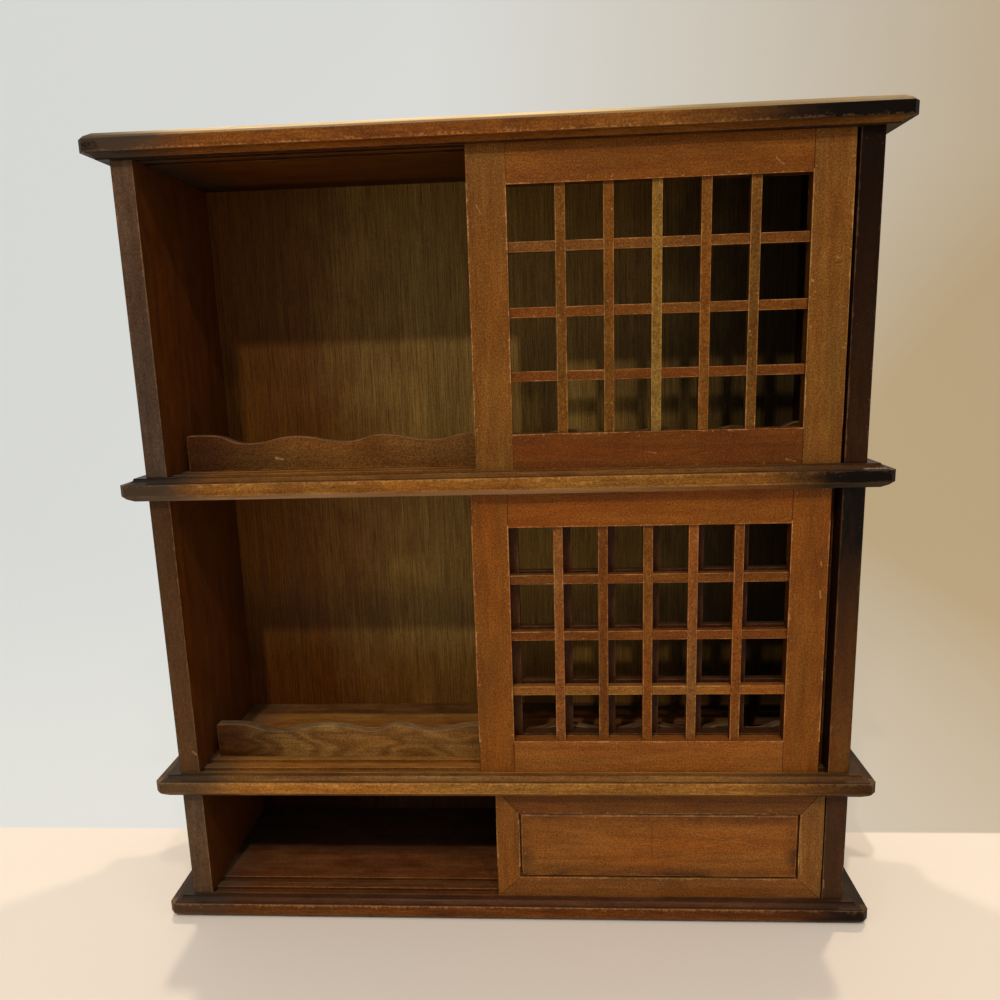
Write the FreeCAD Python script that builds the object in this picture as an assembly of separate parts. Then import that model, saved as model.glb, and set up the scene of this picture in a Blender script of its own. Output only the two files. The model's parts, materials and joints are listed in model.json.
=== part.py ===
import FreeCAD, Part
import math
import os

from FreeCAD import Vector

# A small three-tier mizuya: four moulded boards, a pair of side panels on each tier,
# a plywood back, wavy rails on two shelves and sliding doors in ploughed grooves.
# Millimetres. X runs to the right, Y to the back, Z up. The origin is on the ground,
# in the middle of the outline.

# Case
case_width = 380.0            # over the outer faces of the side panels
case_depth = 93.0             # from the side panels' front edges to the back
side_thickness = 11.5
side_overhang = 13.0
front_overhang = 6.5
lower_clear_height = 66.3
middle_clear_height = 161.45
upper_clear_height = 161.45

# Board edge moulding: a chamfer under a flat fascia, a ledge, a cove and a quirk
chamfer_rise = 2.9
chamfer_run = 2.9
side_chamfer_run = 7.2        # the returns are planed flatter and wider than the front
fascia_height = 6.2
ledge_run = 0.7
side_ledge_run = 3.6
cove_foot = 0.35
cove_run = 3.4
cove_rise = 2.1
cove_hollow = 0.45
quirk_rise = 0.65
corner_clip = 3.0             # across each front corner, along both edges

# Sliding grooves
first_groove_setback = 0.9    # behind the side panels' front edges
groove_width = 4.8
groove_pitch = 9.3
lower_groove_depth = 1.8
upper_groove_depth = 4.2

# Housings that hold the side panels
tenon_thickness = 5.5
tenon_length = 2.6
tenon_front_setback = 21.0
tenon_back_setback = 9.0
joint_clearance = 0.05

# Plywood back and its nails
back_thickness = 3.0
back_rebate = 6.0
back_clearance = 0.25
nail_shank_radius = 0.6
nail_head_radius = 1.3
nail_head_depth = 0.7
nail_length = 9.0
nail_sides = 6
nails_on_a_side = 2
nails_on_a_board = 2

# Wavy rails
rail_setback = 18.2           # behind the side panels' front edges
rail_thickness = 5.5
rail_end_gap = 4.6
rail_shoulder = 12.5
upper_rail_height = 20.1
upper_crest_height = 18.5
upper_dip_height = 15.0
lower_rail_height = 20.9
lower_crest_height = 19.9
lower_dip_height = 16.2
rail_corner_clip = 0.9
upper_wave_shares = (0.10, 0.174, 0.259, 0.314, 0.397, 0.463, 0.54, 0.61, 0.682, 0.75, 0.815, 0.865, 0.915)
lower_wave_shares = (0.105, 0.195, 0.272, 0.314, 0.37, 0.452, 0.53, 0.6, 0.672, 0.74, 0.81, 0.86, 0.91)

# Doors
door_thickness = 7.6
door_groove_play = 0.2        # in front of a door's tongue
tongue_thickness = 4.3
door_foot_play = 0.15         # under a door's lower tongue
lower_shoulder_play = 0.4
upper_tongue_rise = 2.0       # into the groove above
upper_shoulder_play = 2.2     # room to lift a door out
door_end_play = 0.3
upper_door_gap = 1.3          # from the right panel, as it stands
middle_door_gap = 5.0

# Lattice doors
lattice_stile_width = 19.8
lattice_top_rail_face = 19.2
lattice_bottom_rail_face = 18.6
door_tenon_length = 12.0
door_tenon_thickness = 2.6
door_tenon_shoulder = 3.5
bar_width = 5.1
bar_depth = 4.4
vertical_bar_setback = 1.5
horizontal_bar_setback = 1.8
bar_tenon_length = 3.0
bar_pitch = 24.0
vertical_bar_count = 5
horizontal_bar_count = 3

# Panel doors
panel_stile_width = 13.4
panel_top_rail_face = 14.0
panel_bottom_rail_face = 11.4
panel_groove_setback = 2.6
panel_groove_width = 2.6
panel_groove_depth = 3.0
panel_edge_play = 0.3
panel_face_gap = 0.8
panel_face_setback = 0.25
panel_face_bevel = 0.7

overrun = 1.0                 # how far a cutter passes the face that it opens

# Levels and planes that follow from the sizes above
cove_top = chamfer_rise + fascia_height + cove_foot + cove_rise
board_thickness = cove_top + quirk_rise
overall_width = case_width + 2 * side_overhang
overall_depth = case_depth + front_overhang
front_y = -overall_depth / 2
back_y = overall_depth / 2
panel_front_y = front_y + front_overhang
outer_x = case_width / 2
inner_x = outer_x - side_thickness
tip_x = overall_width / 2
sheet_front_y = back_y - back_thickness
base_top = board_thickness
shelf_one_bottom = base_top + lower_clear_height
shelf_one_top = shelf_one_bottom + board_thickness
shelf_two_bottom = shelf_one_top + middle_clear_height
shelf_two_top = shelf_two_bottom + board_thickness
top_bottom = shelf_two_top + upper_clear_height
overall_height = top_bottom + board_thickness
first_groove_y = panel_front_y + first_groove_setback
inner_width = 2 * inner_x
board_levels = (0, shelf_one_bottom, shelf_two_bottom, top_bottom)
tiers = ((base_top, shelf_one_bottom), (shelf_one_top, shelf_two_bottom), (shelf_two_top, top_bottom))


def block(x0, x1, y0, y1, z0, z1):
    """A block between two corners."""
    return Part.makeBox(x1 - x0, y1 - y0, z1 - z0, Vector(x0, y0, z0))


def prism(points, along):
    """A straight-sided outline carried along a direction."""
    wire = Part.makePolygon(list(points) + [points[0]])
    return Part.Face(wire).extrude(along)


def edge_profile(place, mirrored_up, chamfer, ledge):
    """The moulded edge from the underside to the top face, as edges and their last points.

    place turns (inset from the fascia, height) into a point in space; chamfer and ledge are runs."""
    def at(inset, height):
        return place(inset, board_thickness - height if mirrored_up else height)

    fascia_top = chamfer_rise + fascia_height
    cove_end = ledge + cove_run
    cove_start_height = fascia_top + cove_foot
    slope = math.hypot(cove_run, cove_rise)
    middle = at(
        (ledge + cove_end) / 2 + cove_hollow * cove_rise / slope,
        (cove_start_height + cove_top) / 2 - cove_hollow * cove_run / slope,
    )
    straight = [
        at(chamfer, 0),
        at(0, chamfer_rise),
        at(0, fascia_top),
        at(ledge, fascia_top),
        at(ledge, cove_start_height),
    ]
    edges = [Part.makeLine(a, b) for a, b in zip(straight, straight[1:])]
    cove_last = at(cove_end, cove_top)
    edges.append(Part.Arc(straight[-1], middle, cove_last).toShape())
    last = at(cove_end, board_thickness)
    edges.append(Part.makeLine(cove_last, last))
    return edges, straight[0], last


def moulded_length(level, mirrored_up):
    """The board's cross-section, moulded in front and plain behind, run along X."""
    def place(inset, height):
        return Vector(-tip_x, front_y + inset, level + height)

    edges, first, last = edge_profile(place, mirrored_up, chamfer_run, ledge_run)
    far_last = Vector(-tip_x, back_y, last.z)
    far_first = Vector(-tip_x, back_y, first.z)
    edges.append(Part.makeLine(last, far_last))
    edges.append(Part.makeLine(far_last, far_first))
    edges.append(Part.makeLine(far_first, first))
    wire = Part.Wire(edges)
    return Part.Face(wire).extrude(Vector(overall_width, 0, 0))


def moulded_ends(level, mirrored_up):
    """The board's long section with both ends moulded, run from front to back."""
    def left(inset, height):
        return Vector(-tip_x + inset, front_y, level + height)

    def right(inset, height):
        return Vector(tip_x - inset, front_y, level + height)

    runs = side_chamfer_run, side_ledge_run
    left_edges, left_first, left_last = edge_profile(left, mirrored_up, *runs)
    right_edges, right_first, right_last = edge_profile(right, mirrored_up, *runs)
    closing = [Part.makeLine(left_last, right_last), Part.makeLine(left_first, right_first)]
    wire = Part.Wire(Part.__sortEdges__(left_edges + right_edges + closing))
    return Part.Face(wire).extrude(Vector(0, overall_depth, 0))


def corner_clipped(level, mirrored_up):
    """The board's outline in plan, its front corners clipped across the mitres and chamfered too."""
    points = [
        (-tip_x + corner_clip, front_y),
        (tip_x - corner_clip, front_y),
        (tip_x, front_y + corner_clip),
        (tip_x, back_y),
        (-tip_x, back_y),
        (-tip_x, front_y + corner_clip),
    ]
    shape = prism([Vector(x, y, level) for x, y in points], Vector(0, 0, board_thickness))
    outline = [
        (-chamfer_run, 0),
        (0, chamfer_rise),
        (overrun, chamfer_rise),
        (overrun, -overrun),
        (-chamfer_run, -overrun),
    ]
    reach = chamfer_run + corner_clip
    for side in (-1, 1):
        outward = Vector(side, -1, 0).normalize()
        along = Vector(side, 1, 0).normalize() * (2 * reach)
        start = Vector(side * (tip_x - corner_clip / 2), front_y + corner_clip / 2, level) - along / 2
        corners = []
        for out, height in outline:
            rise = board_thickness - height if mirrored_up else height
            corners.append(start + outward * out + Vector(0, 0, rise))
        shape = shape.cut(prism(corners, along))
    return shape


def track_grooves(face_z, depth, upward):
    """Two grooves side by side, cut into a face between the side panels."""
    z0, z1 = (face_z - overrun, face_z + depth) if upward else (face_z - depth, face_z + overrun)
    first = block(-inner_x, inner_x, first_groove_y, first_groove_y + groove_width, z0, z1)
    second = first.translated(Vector(0, groove_pitch, 0))
    return [first, second]


def panel_housings(face_z, upward):
    """A stopped housing for each side panel's tenon, cut into a face of a board."""
    centre = (inner_x + outer_x) / 2
    half = tenon_thickness / 2 + joint_clearance
    deep = tenon_length + joint_clearance
    z0, z1 = (face_z - overrun, face_z + deep) if upward else (face_z - deep, face_z + overrun)
    y0 = panel_front_y + tenon_front_setback - joint_clearance
    y1 = back_y - tenon_back_setback + joint_clearance
    return [block(side * centre - half, side * centre + half, y0, y1, z0, z1) for side in (-1, 1)]


def sheet_space():
    """The rebate that the plywood back lies in."""
    reach = inner_x + back_rebate
    low = base_top - back_rebate
    high = top_bottom + back_rebate
    return block(-reach, reach, sheet_front_y, back_y + overrun, low, high)


def nail_places():
    """Where the back is nailed: (x, z) on every side panel and every board."""
    places = []
    land_x = inner_x + back_rebate / 2
    for low, high in tiers:
        for number in range(nails_on_a_side):
            z = low + (high - low) * (number + 0.5) / nails_on_a_side
            places += [(-land_x, z), (land_x, z)]
    levels = [base_top - back_rebate / 2, top_bottom + back_rebate / 2]
    levels += [shelf_one_bottom + board_thickness / 2, shelf_two_bottom + board_thickness / 2]
    for z in levels:
        for number in range(nails_on_a_board):
            x = inner_width * ((number + 0.5) / nails_on_a_board - 0.5)
            places.append((x, z))
    return places


def many_sided(radius, x, z, depth):
    """A prism of nail_sides sides, driven forward from the back."""
    turns = [2 * math.pi * number / nail_sides for number in range(nail_sides)]
    points = [Vector(x + radius * math.cos(turn), back_y, z + radius * math.sin(turn)) for turn in turns]
    return prism(points, Vector(0, -depth, 0))


def nail_at(x, z, play):
    """A nail driven forward from the back, its head flush with the sheet."""
    shank = many_sided(nail_shank_radius + play, x, z, nail_length + play)
    head = many_sided(nail_head_radius + play, x, z, nail_head_depth)
    return shank.fuse(head)


def nail_holes():
    return [nail_at(x, z, joint_clearance) for x, z in nail_places()]


def back_nails():
    return Part.makeCompound([nail_at(x, z, 0).removeSplitter() for x, z in nail_places()])


def near(shape, cutters):
    """Only the cutters that reach into a shape."""
    return [cutter for cutter in cutters if shape.BoundBox.intersect(cutter.BoundBox)]


def board(level, mirrored_up, has_floor, has_ceiling):
    """A board moulded on three edges, with grooves and housings in the faces that need them."""
    shape = moulded_length(level, mirrored_up).common(moulded_ends(level, mirrored_up))
    shape = shape.common(corner_clipped(level, mirrored_up))
    cutters = [sheet_space()]
    if has_floor:
        top = level + board_thickness
        cutters += track_grooves(top, lower_groove_depth, False) + panel_housings(top, False)
    if has_ceiling:
        cutters += track_grooves(level, upper_groove_depth, True) + panel_housings(level, True)
    cutters += nail_holes()
    return shape.cut(near(shape, cutters)).removeSplitter()


def side_panel(side, low, high):
    """An upright with a tenon at each end and a rebate for the back."""
    x0, x1 = sorted((side * inner_x, side * outer_x))
    shape = block(x0, x1, panel_front_y, back_y, low, high)
    centre = (x0 + x1) / 2
    tenon = block(
        centre - tenon_thickness / 2,
        centre + tenon_thickness / 2,
        panel_front_y + tenon_front_setback,
        back_y - tenon_back_setback,
        low - tenon_length,
        high + tenon_length,
    )
    shape = shape.fuse(tenon)
    return shape.cut(near(shape, [sheet_space()] + nail_holes())).removeSplitter()


def back_sheet():
    reach = inner_x + back_rebate - back_clearance
    low = base_top - back_rebate + back_clearance
    high = top_bottom + back_rebate - back_clearance
    sheet = block(-reach, reach, sheet_front_y, back_y, low, high)
    return sheet.cut(nail_holes())


def half_wave(start, end):
    """Two equal arcs from a crest to a dip, or back, level at both and tangent between them."""
    run = abs(end.x - start.x) / 2
    drop = abs(end.z - start.z) / 2
    radius = (run * run + drop * drop) / (2 * drop)
    turn = math.asin(run / radius) / 2
    along = math.copysign(radius * math.sin(turn), end.x - start.x)
    down = math.copysign(radius * (1 - math.cos(turn)), end.z - start.z)
    middle = (start + end) * 0.5
    first = Part.Arc(start, start + Vector(along, 0, down), middle)
    second = Part.Arc(middle, end - Vector(along, 0, down), end)
    return [first.toShape(), second.toShape()]


def wavy_rail(foot, height, crest, dip, wave_shares):
    """A rail whose upper edge runs level at both ends and in waves between them."""
    x0 = -inner_x + rail_end_gap
    x1 = inner_x - rail_end_gap
    y = panel_front_y + rail_setback
    length = x1 - x0
    left = Vector(x0 + rail_shoulder, y, foot + height)
    right = Vector(x1 - rail_shoulder, y, foot + height)
    wave = [left]
    for number, share in enumerate(wave_shares):
        rise = crest if number % 2 else dip
        wave.append(Vector(x0 + share * length, y, foot + rise))
    wave.append(right)
    edges = []
    for start, end in zip(wave, wave[1:]):
        edges += half_wave(start, end)
    outline = [
        right,
        Vector(x1 - rail_corner_clip, y, foot + height),
        Vector(x1, y, foot + height - rail_corner_clip),
        Vector(x1, y, foot),
        Vector(x0, y, foot),
        Vector(x0, y, foot + height - rail_corner_clip),
        Vector(x0 + rail_corner_clip, y, foot + height),
        left,
    ]
    edges += [Part.makeLine(a, b) for a, b in zip(outline, outline[1:])]
    return Part.Face(Part.Wire(edges)).extrude(Vector(0, rail_thickness, 0))


def door_tongue_cuts(x0, x1, front, low, high):
    """What is planed off a door's back to leave a tongue along its foot and its head.

    low and high are the floor and the ceiling of the tier."""
    y0 = front + tongue_thickness
    y1 = front + door_thickness + overrun
    foot = block(x0, x1, y0, y1, low - lower_groove_depth - overrun, low + lower_shoulder_play)
    head = block(x0, x1, y0, y1, high - upper_shoulder_play, high + upper_tongue_rise + overrun)
    return [foot, head]


def lattice_door(name, x0, front, low, high):
    """A frame of two stiles and two rails round a lattice of bars that are lapped together."""
    x1 = x0 + lattice_door_width
    back = front + door_thickness
    foot = low - lower_groove_depth + door_foot_play
    head = high + upper_tongue_rise
    window_low = low + lattice_bottom_rail_face
    window_high = high - lattice_top_rail_face
    window_left = x0 + lattice_stile_width
    window_right = x1 - lattice_stile_width
    tongues = door_tongue_cuts(x0 - overrun, x1 + overrun, front, low, high)
    tenon_y = (front + back - door_tenon_thickness) / 2

    def rail_shape(z0, z1, play):
        """A rail between the stiles with a tenon at each end; play widens the tenons alone."""
        body = block(window_left, window_right, front, back, z0, z1)
        tenon = block(
            window_left - door_tenon_length - play,
            window_right + door_tenon_length + play,
            tenon_y - play,
            tenon_y + door_tenon_thickness + play,
            max(z0, low + lower_shoulder_play) + door_tenon_shoulder - play,
            min(z1, high - upper_shoulder_play) - door_tenon_shoulder + play,
        )
        return body, tenon

    bars = {}
    bar_cutters = []
    middle_x = (window_left + window_right) / 2
    bar_y = front + vertical_bar_setback
    lap_y = bar_y + bar_depth / 2
    cross_y = front + horizontal_bar_setback
    row_pitch = (window_high - window_low + bar_width) / (horizontal_bar_count + 1)
    rows = [
        window_low - bar_width / 2 + row_pitch * (number + 1)
        for number in range(horizontal_bar_count)
    ]
    columns = [
        middle_x + bar_pitch * (number - (vertical_bar_count - 1) / 2)
        for number in range(vertical_bar_count)
    ]
    half = bar_width / 2

    def upright(x, play):
        return block(
            x - half - play,
            x + half + play,
            bar_y - play,
            bar_y + bar_depth + play,
            window_low - bar_tenon_length - play,
            window_high + bar_tenon_length + play,
        )

    def crosswise(z, play):
        return block(
            window_left - bar_tenon_length - play,
            window_right + bar_tenon_length + play,
            cross_y - play,
            cross_y + bar_depth + play,
            z - half - play,
            z + half + play,
        )

    for number, x in enumerate(columns, 1):
        notches = [
            block(
                x - bar_width,
                x + bar_width,
                lap_y,
                back,
                z - half - joint_clearance,
                z + half + joint_clearance,
            )
            for z in rows
        ]
        bars[f"{name}_vertical_bar_{number}"] = upright(x, 0).cut(notches)
        bar_cutters.append(upright(x, joint_clearance))
    for number, z in enumerate(rows, 1):
        notches = [
            block(
                x - half - joint_clearance,
                x + half + joint_clearance,
                front,
                lap_y + joint_clearance,
                z - bar_width,
                z + bar_width,
            )
            for x in columns
        ]
        bars[f"{name}_horizontal_bar_{number}"] = crosswise(z, 0).cut(notches)
        bar_cutters.append(crosswise(z, joint_clearance))

    parts = {}
    mortises = []
    for place, z0, z1 in (("bottom", foot, window_low), ("top", window_high, head)):
        body, tenon = rail_shape(z0, z1, 0)
        shape = body.fuse(tenon)
        parts[f"{name}_{place}_rail"] = shape.cut(near(shape, tongues + bar_cutters)).removeSplitter()
        mortises.append(rail_shape(z0, z1, joint_clearance)[1])
    for place, left, right in (("left", x0, window_left), ("right", window_right, x1)):
        stile = block(left, right, front, back, foot, head)
        cutters = near(stile, tongues + mortises + bar_cutters)
        parts[f"{name}_{place}_stile"] = stile.cut(cutters).removeSplitter()
    parts.update(bars)
    return parts


def panel_door(name, x0, front, low, high):
    """A mitred frame grooved round a flush panel."""
    x1 = x0 + panel_door_width
    back = front + door_thickness
    foot = low - lower_groove_depth + door_foot_play
    head = high + upper_tongue_rise
    field_low = low + panel_bottom_rail_face
    field_high = high - panel_top_rail_face
    field_left = x0 + panel_stile_width
    field_right = x1 - panel_stile_width
    outer = [(x0, foot), (x1, foot), (x1, head), (x0, head)]
    inner = [
        (field_left, field_low),
        (field_right, field_low),
        (field_right, field_high),
        (field_left, field_high),
    ]
    tongues = door_tongue_cuts(x0 - overrun, x1 + overrun, front, low, high)
    groove_y = front + panel_groove_setback
    groove = block(
        field_left - panel_groove_depth,
        field_right + panel_groove_depth,
        groove_y,
        groove_y + panel_groove_width,
        field_low - panel_groove_depth,
        field_high + panel_groove_depth,
    )
    parts = {}
    for number, place in enumerate(("bottom_rail", "right_stile", "top_rail", "left_stile")):
        after = (number + 1) % 4
        corners = [outer[number], outer[after], inner[after], inner[number]]
        shape = prism([Vector(x, front, z) for x, z in corners], Vector(0, door_thickness, 0))
        parts[f"{name}_{place}"] = shape.cut(tongues + [groove]).removeSplitter()

    reach = panel_groove_depth - panel_edge_play
    tongue = block(
        field_left - reach,
        field_right + reach,
        groove_y + joint_clearance,
        groove_y + panel_groove_width - joint_clearance,
        field_low - reach,
        field_high + reach,
    )
    face_y = front + panel_face_setback
    face = block(
        field_left + panel_face_gap,
        field_right - panel_face_gap,
        face_y,
        groove_y + panel_groove_width - joint_clearance,
        field_low + panel_face_gap,
        field_high - panel_face_gap,
    )
    rim = [edge for edge in face.Edges if edge.BoundBox.YMax < face_y + panel_face_bevel / 2]
    parts[f"{name}_panel"] = face.makeChamfer(panel_face_bevel, rim).fuse(tongue).removeSplitter()
    return parts


# Doors overlap by one stile when a pair is closed
lattice_door_width = (inner_width + lattice_stile_width) / 2
panel_door_width = (inner_width + panel_stile_width) / 2
front_door_y = first_groove_y + door_groove_play
rear_door_y = front_door_y + groove_pitch


def build():
    parts = {
        "base_board": board(0, False, True, False),
        "lower_shelf": board(shelf_one_bottom, False, True, True),
        "upper_shelf": board(shelf_two_bottom, False, True, True),
        "top_board": board(top_bottom, True, False, True),
    }
    for tier, (low, high) in zip(("lower", "middle", "upper"), tiers):
        parts[f"{tier}_left_side"] = side_panel(-1, low, high)
        parts[f"{tier}_right_side"] = side_panel(1, low, high)
    parts["back_panel"] = back_sheet()
    parts["back_nails"] = back_nails()
    parts["middle_wavy_rail"] = wavy_rail(
        shelf_one_top, lower_rail_height, lower_crest_height, lower_dip_height, lower_wave_shares
    )
    parts["upper_wavy_rail"] = wavy_rail(
        shelf_two_top, upper_rail_height, upper_crest_height, upper_dip_height, upper_wave_shares
    )
    lower, middle, upper = tiers
    right_lattice_x = inner_x - lattice_door_width
    right_panel_x = inner_x - panel_door_width - door_end_play
    parts.update(lattice_door("upper_door", right_lattice_x - upper_door_gap, front_door_y, *upper))
    parts.update(lattice_door("middle_front_door", right_lattice_x - middle_door_gap, front_door_y, *middle))
    parts.update(lattice_door("middle_rear_door", right_lattice_x - door_end_play, rear_door_y, *middle))
    parts.update(panel_door("lower_front_door", right_panel_x, front_door_y, *lower))
    parts.update(panel_door("lower_rear_door", right_panel_x, rear_door_y, *lower))
    return parts


def main():
    os.makedirs("parts", exist_ok=True)
    for name, shape in build().items():
        if not shape.isValid():
            raise ValueError(f"{name} is not a valid shape")
        shape.exportStep(f"parts/{name}.step")
        print(name, len(shape.Solids), round(shape.Volume, 1))
    print("overall", overall_width, overall_depth, overall_height)


main()
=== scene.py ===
import json
from functools import partial
from math import pi, radians

import bpy
from mathutils import Matrix, Vector

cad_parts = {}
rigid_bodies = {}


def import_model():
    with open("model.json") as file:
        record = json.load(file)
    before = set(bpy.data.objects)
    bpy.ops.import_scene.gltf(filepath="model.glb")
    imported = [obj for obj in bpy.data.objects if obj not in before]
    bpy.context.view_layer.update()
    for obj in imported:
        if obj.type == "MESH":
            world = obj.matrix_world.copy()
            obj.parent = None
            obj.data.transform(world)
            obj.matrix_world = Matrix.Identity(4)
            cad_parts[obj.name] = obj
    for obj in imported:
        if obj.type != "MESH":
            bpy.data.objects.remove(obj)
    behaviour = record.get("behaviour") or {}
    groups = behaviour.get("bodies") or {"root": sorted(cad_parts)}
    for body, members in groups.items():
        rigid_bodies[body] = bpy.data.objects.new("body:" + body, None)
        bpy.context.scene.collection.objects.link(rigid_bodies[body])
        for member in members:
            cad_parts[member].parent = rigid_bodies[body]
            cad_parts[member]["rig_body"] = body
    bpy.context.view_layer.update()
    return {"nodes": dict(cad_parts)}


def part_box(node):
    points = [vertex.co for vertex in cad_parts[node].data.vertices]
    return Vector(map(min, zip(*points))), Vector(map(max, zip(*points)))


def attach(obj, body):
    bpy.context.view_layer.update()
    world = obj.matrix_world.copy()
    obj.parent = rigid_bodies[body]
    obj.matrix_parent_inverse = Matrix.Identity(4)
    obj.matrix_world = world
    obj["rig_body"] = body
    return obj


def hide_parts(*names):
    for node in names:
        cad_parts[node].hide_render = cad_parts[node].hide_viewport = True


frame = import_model()
bpy.context.scene.view_settings.view_transform = "Standard"
print("frame loaded:", len(frame["nodes"]), "nodes")


def linear(hexColour):
    # sRGB hex to the linear values that Blender's sockets take
    values = [int(hexColour[i:i + 2], 16) / 255 for i in (0, 2, 4)]
    return tuple(v / 12.92 if v <= 0.04045 else ((v + 0.055) / 1.055) ** 2.4 for v in values)


def paint(hexColour):
    return (*linear(hexColour), 1)


# the photograph is taken close up, from just above the upper shelf, a little tilted
view = {
    "place": (0.02613, -0.4574, 0.32898),
    "ahead": (-0.05930, 0.97991, -0.19042),
    "right": (0.99806, 0.05454, -0.03015),
    "lens": 28.72,
    "sensor": 36,
    "clip": (0.01, 20),
}


def placeCamera():
    data = bpy.data.cameras.new("camera")
    data.sensor_width = view["sensor"]
    data.lens = view["lens"]
    data.clip_start, data.clip_end = view["clip"]
    camera = bpy.data.objects.new("camera", data)
    bpy.context.collection.objects.link(camera)
    ahead = Vector(view["ahead"]).normalized()
    up = Vector(view["right"]).cross(ahead).normalized()
    right = ahead.cross(up)
    camera.matrix_world = Matrix.Translation(view["place"]) @ Matrix((right, up, -ahead)).transposed().to_4x4()
    bpy.context.scene.camera = camera


placeCamera()


# pale table and wall, two small lamps high in front, two behind and an even room light; metres and watts
studio = {
    "table": "d8cec3",
    "wall": "d8dad7",
    "wallWarm": "b8a27f",        # the wall's right side, in warmer light
    "warmFrom": -0.2,            # x where the warm light starts
    "warmTo": (0.55, 1.15),      # and where it is full, at the table and at the height below
    "warmHeight": 0.7,
    "wallLine": (0.038, 0.040),  # the table's colour stops just in front of this y
    "wallShown": (0.7, 0.9),     # how much of the wall's colour is shown as written, near and far
    "shownFrom": (0.06, 0.5),    # the y of near and far
    "cloudScale": 1.7,
    "cloudShade": (0.97, 1.0),
    "boardRoughness": 0.62,
    "reach": 3.0,
    "backdrop": 1.3,
    "backdropHeight": 2.6,
    "sweep": 0.45,
    "sweepSegments": 16,
    "roomLight": 0.64,
    "roomColour": "fdfbf8",
    "backdropLevel": 0.9,        # the backdrop past the sweep, as the camera and gloss see it
    "glossInFront": 0.12,        # varnish also mirrors the darker side of the room in front
    "glossTurn": (-0.2, 0.2),    # where gloss turns from that side to the backdrop
    "aim": (0, 0, 0.2),
    "lamps": {                   # place, power, size and colour
        "highLeftLamp": ((-0.311, -1.17, 1.54), 15.0, 0.05, "fff4e6"),
        "highRightLamp": ((0.42, -1.05, 1.667), 6.5, 0.08, "ffefdc"),
        "lampBehindLeft": ((-0.5, 0.7, 1.3), 7.5, 0.1, "fff0dc"),
        "lampBehindRight": ((0.7, 0.7, 1.3), 8.5, 0.1, "ffe9cc"),
    },
}


def addNode(tree, kind, inputs=None, **settings):
    # one node with its settings; an input takes a number, a colour, a socket or another node's first live output
    node = tree.nodes.new("ShaderNode" + kind)
    for name, value in settings.items():
        setattr(node, name, value)
    for key, value in (inputs or {}).items():
        if isinstance(value, bpy.types.Node):
            value = next(socket for socket in value.outputs if socket.enabled)
        if isinstance(value, bpy.types.NodeSocket):
            tree.links.new(value, node.inputs[key])
        else:
            node.inputs[key].default_value = value
    return node


mostOfNoise = {1: 0.3, 2: 0.7}    # nearly all of a noise lies between these
softly = {"interpolation_type": "SMOOTHSTEP"}


def newMaterial(name):
    material = bpy.data.materials.new(name)
    material.use_nodes = True
    material.node_tree.nodes.clear()
    return material, partial(addNode, material.node_tree)


def selectOnly(obj):
    bpy.ops.object.select_all(action="DESELECT")
    obj.select_set(True)
    bpy.context.view_layer.objects.active = obj


def seenDirectly(add):
    # 1 for what the camera sees, by itself or in gloss or glass
    path = add("LightPath").outputs
    seen = add("Math", {0: path["Is Camera Ray"], 1: path["Is Glossy Ray"]}, operation="MAXIMUM")
    return add("Math", {0: seen, 1: path["Is Transmission Ray"]}, operation="MAXIMUM")


def boardMaterial():
    # matt painted board: the table's warm grey in front of the wall line, the wall's white behind it
    material, add = newMaterial("mattPaintedBoard")
    material.cycles.emission_sampling = "NONE"
    coords = add("TexCoord").outputs["Object"]
    place = add("SeparateXYZ", {0: coords}).outputs
    start, stop = studio["wallLine"]
    wall = add("MapRange", {0: place["Y"], 1: start, 2: stop})
    cloud = add("TexNoise", {"Vector": coords, "Scale": studio["cloudScale"], "Detail": 1.0})
    dark, pale = studio["cloudShade"]
    shade = add("MapRange", {0: cloud, **mostOfNoise, 3: dark, 4: pale})
    # the warm light falls low
    low, high = studio["warmTo"]
    warmBy = add("MapRange", {0: place["Z"], 1: 0.0, 2: studio["warmHeight"], 3: low, 4: high})
    warm = add("MapRange", {0: place["X"], 1: studio["warmFrom"], 2: warmBy})
    wallColour = add("Mix", {0: warm, 6: paint(studio["wall"]), 7: paint(studio["wallWarm"])}, data_type="RGBA")
    colour = add("Mix", {0: wall, 6: paint(studio["table"]), 7: wallColour}, data_type="RGBA")
    shaded = add("VectorMath", {0: colour, "Scale": shade}, operation="SCALE")
    surface = add("BsdfPrincipled", {"Base Color": shaded, "Roughness": studio["boardRoughness"]})
    shown = add("Math", {0: seenDirectly(add), 1: wall}, operation="MULTIPLY")
    near, far = studio["wallShown"]
    start, stop = studio["shownFrom"]
    level = add("MapRange", {0: place["Y"], 1: start, 2: stop, 3: near, 4: far})
    shown = add("Math", {0: shown, 1: level}, operation="MULTIPLY")
    glow = add("Emission", {0: wallColour, 1: 1.0})
    both = add("MixShader", {0: shown, 1: surface.outputs[0], 2: glow.outputs[0]})
    add("OutputMaterial", {"Surface": both.outputs[0]})
    return material


def selectEdges(obj, wanted):
    # only the edges whose two ends both lie where they are wanted
    bpy.ops.object.mode_set(mode="EDIT")
    bpy.ops.mesh.select_all(action="DESELECT")
    bpy.ops.object.mode_set(mode="OBJECT")
    for edge in obj.data.edges:
        edge.select = all(wanted(obj.data.vertices[v].co) for v in edge.vertices)
    bpy.ops.object.mode_set(mode="EDIT")


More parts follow.
